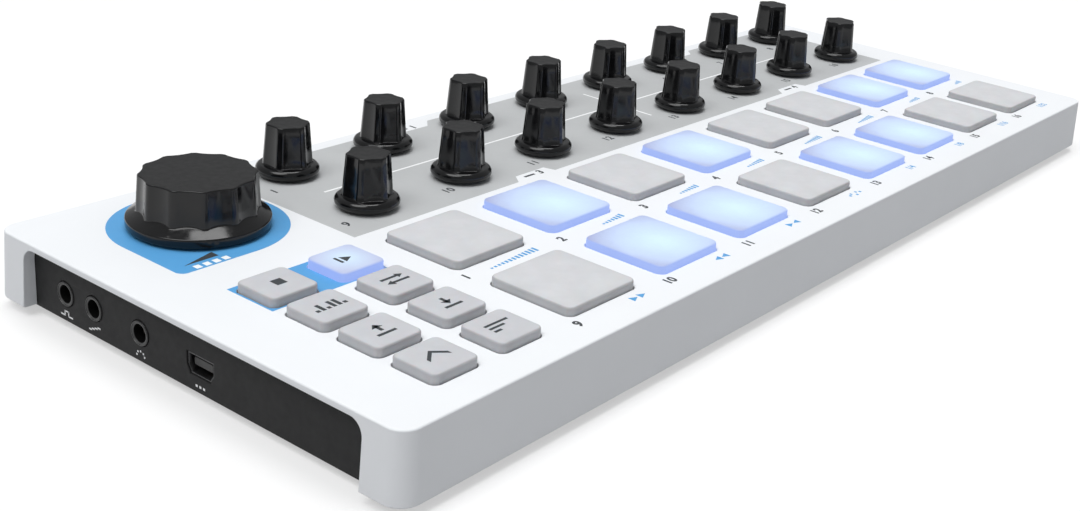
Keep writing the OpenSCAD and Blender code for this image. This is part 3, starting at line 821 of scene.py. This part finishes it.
def make_usb():
    shell = steel("socket_steel", (0.12, 0.12, 0.124), 0.38)
    black = dark_plastic("socket_tongue", (0.012, 0.012, 0.012), 0.4, 0.006)
    gold = steel("contact_gold", (0.75, 0.55, 0.22))
    skin, tongue_w, tongue_h, tongue_lift = 0.35, 4.6, 1.5, 0.3
    pin_count, pin_pitch, pin_w, pin_h = 5, 0.75, 0.3, 0.1
    low, high = node_box("usb_socket")
    mouth, back = -low.x, -high.x
    lip = ((0, 0.15), (0.1, 0), (0.22, 0), (skin, 0.5))  # inset and depth
    solid = Solid()
    solid.loft([usb_ring(0, back), *(usb_ring(-inset, mouth - depth) for inset, depth in lip),
                usb_ring(-skin, back + skin)])
    centre = (-(low.y + high.y) / 2, (low.z + high.z) / 2 + tongue_lift)
    tongue = ((back + skin / 2, 0), (mouth - 0.6, 0), (mouth - 0.45, 0.12))
    solid.loft([rounded(tongue_w - 2 * inset, tongue_h - 2 * inset, 0.25, z, 3, centre)
                for z, inset in tongue], 1)
    for i in range(pin_count):
        pin = (centre[0] + (i - pin_count // 2) * pin_pitch, centre[1] - tongue_h / 2)
        solid.loft([rounded(pin_w, pin_h, 0.03, z, 2, pin) for z in (back + 1, mouth - 1)], 2)
    piece(solid.mesh("usb_shell", [shell, black, gold], TO_LEFT), "usb_shell",
          replaces=["usb_socket"])


# Turns plates drawn flat so that their top faces down: flat x stays and flat y runs to the front
TO_FLOOR = Matrix.Diagonal((1, -1, -1, 1))


def screw_places():
    """Axes of the case screws, from the corners of their group."""
    low, high = node_box("case_screws")
    middle_x = (node_middle("pad_4").x + node_middle("pad_5").x) / 2
    return [(x, y) for x in (low.x + SCREW_HEAD_R, middle_x, high.x - SCREW_HEAD_R)
            for y in (low.y + SCREW_HEAD_R, high.y - SCREW_HEAD_R)]


def make_base():
    plastic = dark_plastic("base_plastic", (0.036, 0.036, 0.038), 0.5, 0.02)
    thickness, corner_r, edge = 1.2, 1.4, 0.25
    low, high = node_box("base_plate")
    width, depth = high.x - low.x, high.y - low.y
    middle = (low + high) / 2

    def outline(inset, z):
        return inset_ring(width, depth, corner_r, inset, z, 6, (middle.x, -middle.y))

    def screw_hole(x, y):
        return lambda grow, z: circle(SCREW_HOLE_R + grow, z, (x, -y), 24)

    holes = [screw_hole(x, y) for x, y in screw_places()]
    solid = pierced(outline, holes, -low.z - thickness, -low.z, edge)
    piece(solid.mesh("base_cover", [plastic], TO_FLOOR), "base_cover",
          replaces=["base_plate"])


def cross(width, length):
    """Outline of a cross recess."""
    a, b = width / 2, length / 2
    return [(b, -a), (b, a), (a, a), (a, b), (-a, b), (-a, a),
            (-b, a), (-b, -a), (-a, -a), (-a, -b), (a, -b), (a, -a)]


def make_screws():
    metal = steel("screw_steel", (0.5, 0.5, 0.51), 0.26)
    head_h, head_edge, shank_r = 0.8, 0.4, 1.2
    slot_w, slot_l, recess, taper = 0.55, 2.3, 0.5, 0.8
    low, high = node_box("case_screws")
    bottom, seat = -low.z, -(low.z + head_h)
    solid = Solid()
    for x, y in screw_places():
        at = (x, -y)
        neck = ((shank_r, -high.z), (shank_r, seat), (SCREW_HEAD_R, seat))
        rings = [circle(r, z, at) for r, z in neck]
        rings += [circle(SCREW_HEAD_R - inset, bottom - drop, at)
                  for inset, drop in quarter(head_edge, 4)]
        made = solid.skin(rings)
        solid.cap(made[0])
        slot = [solid.ring([(at[0] + u, at[1] + v, z) for u, v in cross(slot_w * k, slot_l * k)])
                for z, k in ((bottom, 1), (bottom - recess, taper))]
        solid.bridge(slot[0], slot[1])
        solid.cap(slot[1])
        solid.fill([made[-1], slot[0]])
    piece(solid.mesh("screw_heads", [metal], TO_FLOOR), "screw_heads",
          replaces=["case_screws"])


def make_feet():
    rubber = dark_plastic("foot_rubber", (0.016, 0.016, 0.016), 0.62, 0.03)
    radius, edge = 5.0, 0.5
    hollow = ((1.1, 0), (1.4, 0.12))  # inset and depth round the hollow underside
    low, high = node_box("rubber_feet")
    solid = Solid()
    for x in (low.x + radius, high.x - radius):
        for y in (low.y + radius, high.y - radius):
            at = (x, -y)
            rings = [circle(radius, -high.z, at)]
            rings += [circle(radius - inset, -drop, at) for inset, drop in quarter(edge, 5)]
            rings += [circle(radius - inset, -depth, at) for inset, depth in hollow]
            solid.loft(rings)
    piece(solid.mesh("foot_pads", [rubber], TO_FLOOR), "foot_pads",
          replaces=["rubber_feet"])


def film(outline, holes):
    """Layer of ink on the top plate, with holes; returns its Solid."""
    solid = Solid()
    levels = (TOP_Z - INK_T, TOP_Z + INK_T)
    loops = [solid.skin([[(*point[:2], z) for point in ring] for z in levels])
             for ring in (outline, *holes)]
    for level in (0, 1):
        solid.fill([loop[level] for loop in loops])
    return solid


def box_outline(x0, x1, y0, y1):
    return [(x0, y0), (x1, y0), (x1, y1), (x0, y1)]


def grey_outline():
    """Light grey field round the knobs, with four label tabs cut into its edges."""
    def side(edge, inward, tab):
        points = [(GREY_X[0], edge)]
        for shift in (0, TAB_PITCH):
            points += [(x + shift, y)
                       for x, y in zip(tab, (edge, edge + inward, edge + inward, edge))]
        return [*points, (GREY_X[1], edge)]

    return side(GREY_Y[0], TAB_DEPTH, FRONT_TAB) + side(GREY_Y[1], -TAB_DEPTH, REAR_TAB)[::-1]


def patch_outline(centre, radius, corner_r):
    """Disc whose front left quarter runs out to a rounded corner."""
    steps, step_deg = 8, 3
    turns = [math.radians(a) for a in range(-90, 181, step_deg)]
    points = [(centre[0] + radius * math.cos(a), centre[1] + radius * math.sin(a)) for a in turns]
    for i in range(steps + 1):
        a = math.radians(180 + 90 * i / steps)
        points.append((centre[0] - radius + corner_r + corner_r * math.cos(a),
                       centre[1] - radius + corner_r + corner_r * math.sin(a)))
    return points


def digits(solid, text, size, at, z, bold):
    """Adds a number in plain figures, lying on a face at height z and centred on a point."""
    curve = bpy.data.curves.new("digits", "FONT")
    curve.body = text
    curve.size = size
    curve.align_x = curve.align_y = "CENTER"
    curve.extrude = INK_T
    curve.offset = bold
    curve.resolution_u = 3
    obj = placed("digits", curve)
    mesh = evaluated_mesh(obj)
    mesh.transform(Matrix.Translation((*at, z)))
    solid.bm.from_mesh(mesh)
    bpy.data.objects.remove(obj)
    bpy.data.meshes.remove(mesh)


def bar(solid, x0, x1, y0, y1, low=MARK_LOW, high=MARK_HIGH):
    solid.prism(box_outline(x0, x1, y0, y1), low, high)


def printed(solid, name, colour):
    """Piece of print on the top plate."""
    piece(solid.mesh(name, [colour]), name)


def make_print():
    dark = ink("print_dark", linear(58, 62, 66))
    white = ink("print_white", linear(246, 247, 248))
    blue = ink("print_blue", linear(86, 161, 217))
    grey = ink("print_grey", linear(188, 190, 191))
    knob_holes = [circle(FILM_HOLE_R, 0, node_middle("knob_%d" % n)) for n in PADS]
    level_hole = circle(FILM_HOLE_R, 0, node_middle("level_knob"))
    key_holes = [button_hole(node)(KEY_FILM_GAP, 0) for node in BUTTONS[:2]]
    patch = patch_outline(PATCH_CENTRE, PATCH_R, PATCH_CORNER_R)
    films = (("print_field", grey, grey_outline(), knob_holes),
             ("print_patch", blue, patch, [level_hole]),
             ("print_band", blue, box_outline(*BAND), key_holes))
    for name, colour, outline, holes in films:
        printed(film(outline, holes), name, colour)

    lines = Solid()
    for line in LINES:
        bar(lines, *line)
    printed(lines, "print_lines", white)
    make_figures(dark)
    make_marks(dark, blue, white)


def make_figures(dark):
    """Numbers beside the knobs and the pads, and in the tabs of the grey field."""
    knob_size, knob_bold = 2.8, 0.07
    pad_size, tab_size, bold = 2.7, 2.6, 0.11
    figures = Solid()
    for n in PADS:
        knob, pad = node_middle("knob_%d" % n), node_middle("pad_%d" % n)
        by_knob, by_pad = REAR_FIGURES if n <= 8 else FRONT_FIGURES
        if n == 9:
            by_knob = NINE_BY_KNOB
        at = (knob.x + by_knob[0], knob.y + by_knob[1])
        digits(figures, str(n), knob_size, at, TOP_Z + INK_T, knob_bold)
        at = (pad.x + by_pad[0], pad.y + by_pad[1])
        digits(figures, str(n), pad_size, at, TOP_Z, bold)
    for row, y in enumerate((GREY_Y[1] - 1.3, GREY_Y[0] + 1.2)):
        for column in range(2):
            x = FRONT_TAB[1] + column * TAB_PITCH
            digits(figures, str(1 + 2 * row + column), tab_size, (x + 6, y), TOP_Z, bold)
            bar(figures, x + 1.2, x + 4.2, y - 0.3, y + 0.3)
    printed(figures, "print_figures", dark)


def stairs(solid, right, y, notes):
    """Row of small upright bars, as tall as the steps of a scale of notes, ending at its right."""
    pitch, width, lowest, rise = 1.0, 0.58, 0.45, 0.1
    foot = y - 0.85
    for i, note in enumerate(reversed(notes)):
        x = right - i * pitch
        bar(solid, x - width, x, foot, foot + lowest + rise * note)


def triangle(solid, tip_x, back_x, y, half, low=MARK_LOW, high=MARK_HIGH):
    solid.prism([(back_x, y - half), (tip_x, y), (back_x, y + half)], low, high)


def make_marks(dark, blue, white):
    """Blue marks by the pads, marks in the blue patch, and symbols on the buttons and panel."""
    scale_x, rate_x, arrow_x, dots_x = 8.6, 6.2, 5.0, 3.9  # from a pad's middle to the right
    rate_size, rate_bold = 2.3, 0.05
    arrow_pitch, half_l, half_w = 2.1, 0.85, 0.8
    dot_half, dot_rise = 0.3, 0.5
    marks = Solid()
    for n, notes in enumerate(SCALES, 1):
        pad = node_middle("pad_%d" % n)
        stairs(marks, pad.x + scale_x, pad.y - MARK_DROP, notes)
    for n, text in zip(range(13, 17), ("1/4", "1/8", "1/16", "1/32")):
        pad = node_middle("pad_%d" % n)
        digits(marks, text, rate_size, (pad.x + rate_x, pad.y - MARK_DROP), TOP_Z, rate_bold)
    for n, ways in ((9, (1, 1)), (10, (-1, -1)), (11, (1, -1))):
        pad = node_middle("pad_%d" % n)
        for i, way in enumerate(ways):
            x, y = pad.x + arrow_x + arrow_pitch * i, pad.y - MARK_DROP
            triangle(marks, x + way * half_l, x - way * half_l, y, half_w)
    pad = node_middle("pad_12")
    for i, lift in enumerate((0, 1, -1, 1, 0)):
        x, y = pad.x + dots_x + i, pad.y - MARK_DROP + dot_rise * lift
        bar(marks, x - dot_half, x + dot_half, y - dot_half, y + dot_half)
    printed(marks, "print_marks", blue)

    wedge = Solid()
    wedge.prism(LEVEL_WEDGE, MARK_LOW, MARK_HIGH)
    printed(wedge, "level_mark", dark)
    steps = Solid()
    for box in RATE_BARS:
        bar(steps, *box)
    printed(steps, "rate_mark", white)
    make_button_symbols(dark)
    make_panel_symbols(white)


def make_button_symbols(dark):
    """Symbol on each button, set a little way into its crowned top."""
    top, set_in = node_box(BUTTONS[0])[1].z, 0.12
    low, high = top - set_in, top + INK_T

    def arrow(solid, way, y):
        """Upright arrow over or under a short line."""
        bar(solid, -0.35, 0.35, y - 0.9, y + 0.9, low, high)
        head = [(-1.1, y + way * 0.3), (0, y + way * 1.5), (1.1, y + way * 0.3)]
        solid.prism(head[::way], low, high)
        bar(solid, -1.9, 1.9, -1.85, -1.25, low, high)

    def stop(solid):
        bar(solid, -0.92, 1.13, -1.1, 0.98, low, high)

    def play(solid):
        bar(solid, -1.95, -1.4, -1.2, 1.2, low, high)
        triangle(solid, 1.0, -0.9, -0.1, 1.1, low, high)

    def sequence(solid):
        for i, tall in enumerate((0, 1, 0, 1, 1, 0)):
            bar(solid, -3.05 + 1.1 * i, -2.35 + 1.1 * i, -1.3, -0.6 + 1.6 * tall, low, high)

    def sync(solid):
        for way, y in ((1, 0.95), (-1, -0.75)):
            bar(solid, *sorted((-2.4 * way, 1.2 * way)), y - 0.3, y + 0.3, low, high)
            triangle(solid, 2.4 * way, 1.1 * way, y, 0.8, low, high)

    def recall(solid):
        arrow(solid, 1, 0.3)

    def store(solid):
        arrow(solid, -1, 0.7)

    def shift(solid):
        for side in (-1, 1):
            half = [(0, 1.6), (side * 2.2, -0.4), (side * 2.2, -1.25), (0, 0.75)]
            solid.prism(half, low, high)

    def channel(solid):
        for i, reach in enumerate((2.6, 1.7, 0.8)):
            bar(solid, -2.6, -2.6 + 2 * reach, 0.95 - 1.1 * i, 1.5 - 1.1 * i, low, high)

    drawings = (stop, play, sequence, sync, recall, store, shift, channel)
    for node, draw in zip(BUTTONS, drawings):
        solid = Solid()
        draw(solid)
        piece(solid.mesh(node + "_symbol", [dark]), node + "_symbol", node,
              at=plan_place(node))


def make_panel_symbols(white):
    """Small white marks under the sockets, drawn flat and turned to the left end."""
    face, set_in = -PANEL_LOW.x, 0.05
    low, high = face - set_in, face + INK_T
    mark_z, data_z = 3.05, 2.75
    solid = Solid()

    def dash(y, z, width, height=0.28):
        bar(solid, -y - width / 2, -y + width / 2, z - height / 2, z + height / 2, low, high)

    gate, control, note, data = (node_middle(node) for node in (*JACKS, "usb_socket"))
    dash(gate.y + 1.1, mark_z - 0.4, 1.2)
    dash(gate.y, mark_z + 0.4, 1.2)
    dash(gate.y - 1.1, mark_z - 0.4, 1.2)
    for side in (-1, 1):
        dash(gate.y + side * 0.52, mark_z, 0.28, 1.05)
    for i in range(4):
        dash(control.y + 1.2 - 0.8 * i, mark_z - 0.45 + 0.3 * i, 0.8)
    for i in range(5):
        a = math.radians(180 * i / 4)
        dash(note.y + 1.0 * math.cos(a), mark_z - 0.4 + 0.8 * math.sin(a), 0.34, 0.34)
    for i in range(3):
        dash(data.y + 0.9 - 0.9 * i, data_z, 0.5, 0.42)
    piece(solid.mesh("panel_marks", [white], TO_LEFT), "panel_marks")


def dress_inside():
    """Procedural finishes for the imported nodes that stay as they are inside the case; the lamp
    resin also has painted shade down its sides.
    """
    board = board_green()
    black = dark_plastic("chip_plastic", (0.02, 0.02, 0.02), 0.5, 0.01)
    metal = steel("housing_steel", (0.6, 0.6, 0.6))
    brass = steel("spacer_brass", (0.7, 0.5, 0.2))
    # the lamp resin takes silicone's painted shade down its sides, at a share of 0.9
    resin = silicone("lamp_resin", (0.8, 0.82, 0.84), UNDER_Z, 0.9, 0.9)
    finishes = {"main_board": board, "pad_board": board, "board_header": black,
                "board_chips": black, "pad_sensor_sheet": black, "encoder_bodies": metal,
                "level_encoder_body": metal, "button_switches": metal, "board_spacers": brass,
                "pad_lamps": resin}
    for node, finish in finishes.items():
        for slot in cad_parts[node].material_slots:
            slot.material = finish


def make_stage():
    """Wide pale floor, white to the camera and greyer to the light that bounces from it."""
    floor_w, floor_t, corner_r, glow = 40000, 20, 50, 0.48
    rings = [rounded(floor_w, floor_w, corner_r, z, 4) for z in (-floor_t, 0)]
    surface = Surface("stage_floor", Roughness=0.9, Specular_IOR_Level=0.0)
    path = surface.node("ShaderNodeLightPath")
    direct = surface.math("MAXIMUM", path.outputs["Is Camera Ray"], path.outputs["Is Glossy Ray"])
    seen = surface.math("MAXIMUM", direct, path.outputs["Is Transmission Ray"])
    mix = surface.node("ShaderNodeMix", data_type="RGBA")
    surface.link(seen, mix.inputs["Factor"])
    bounce = [(NOISE_LOW, (0.37, 0.37, 0.38)), (NOISE_HIGH, (0.38, 0.38, 0.39))]
    surface.link(surface.ramp(surface.noise(300), bounce), mix.inputs["A"])
    mix.inputs["B"].default_value = (0.5, 0.5, 0.5, 1)
    surface.link(mix.outputs["Result"], surface.shader.inputs["Base Color"])
    surface.shader.inputs["Emission Color"].default_value = (1, 1, 1, 1)
    surface.link(surface.math("MULTIPLY", seen, glow), surface.shader.inputs["Emission Strength"])
    floor = placed("floor", lofted("floor", rings, [surface.material]))


def make_light():
    """Broad light from the left, a narrower one overhead and an even pale room."""
    world = bpy.data.worlds.new("room")
    world.use_nodes = True
    bpy.context.scene.world = world
    room = world.node_tree.nodes["Background"]
    room.inputs["Color"].default_value = (0.97, 0.985, 1.0, 1)
    room.inputs["Strength"].default_value = 0.4

    # Energy, spread in degrees and the direction it comes from
    lamps = {"left_light": (1.6, 40, (-0.5, 0.02, 1)), "top_light": (0.95, 26, (0.17, 0.04, 1))}
    for name, (energy, spread_deg, direction) in lamps.items():
        lamp = bpy.data.lights.new(name, "SUN")
        lamp.energy = energy
        lamp.angle = math.radians(spread_deg)
        obj = placed(name, lamp)
        obj.rotation_euler = Vector(direction).to_track_quat("Z", "Y").to_euler()


def make_camera():
    """Camera at the photograph's place, with its framing."""
    image_w, image_h = 1080, 511
    focal_px, centre_px = 1459.532, (663.649, 189.549)
    place = Vector((-251.96, -172.42, 116.65))
    right, down = Vector((0.5867, -0.8044, 0.0935)), Vector((-0.2275, -0.2745, -0.9343))
    ahead = right.cross(down)
    camera = bpy.data.cameras.new("camera")
    camera.sensor_width = 36
    camera.sensor_fit = "HORIZONTAL"
    camera.lens = focal_px / image_w * camera.sensor_width
    camera.shift_x = (image_w / 2 - centre_px[0]) / image_w
    camera.shift_y = (centre_px[1] - image_h / 2) / image_w
    camera.clip_start = 10 * MM
    camera.clip_end = 60000 * MM
    obj = placed("camera", camera)
    turn = Matrix((right, -down, -ahead)).transposed()
    obj.matrix_world = Matrix.Translation(place * MM) @ turn.to_4x4()
    bpy.context.scene.camera = obj


bpy.context.scene.view_settings.view_transform = "Standard"
make_camera()
make_case(case_plastic())
make_panel()
make_jacks()
make_usb()
make_base()
make_screws()
make_feet()
make_knobs()
make_keys()
make_print()
dress_inside()
make_stage()
make_light()
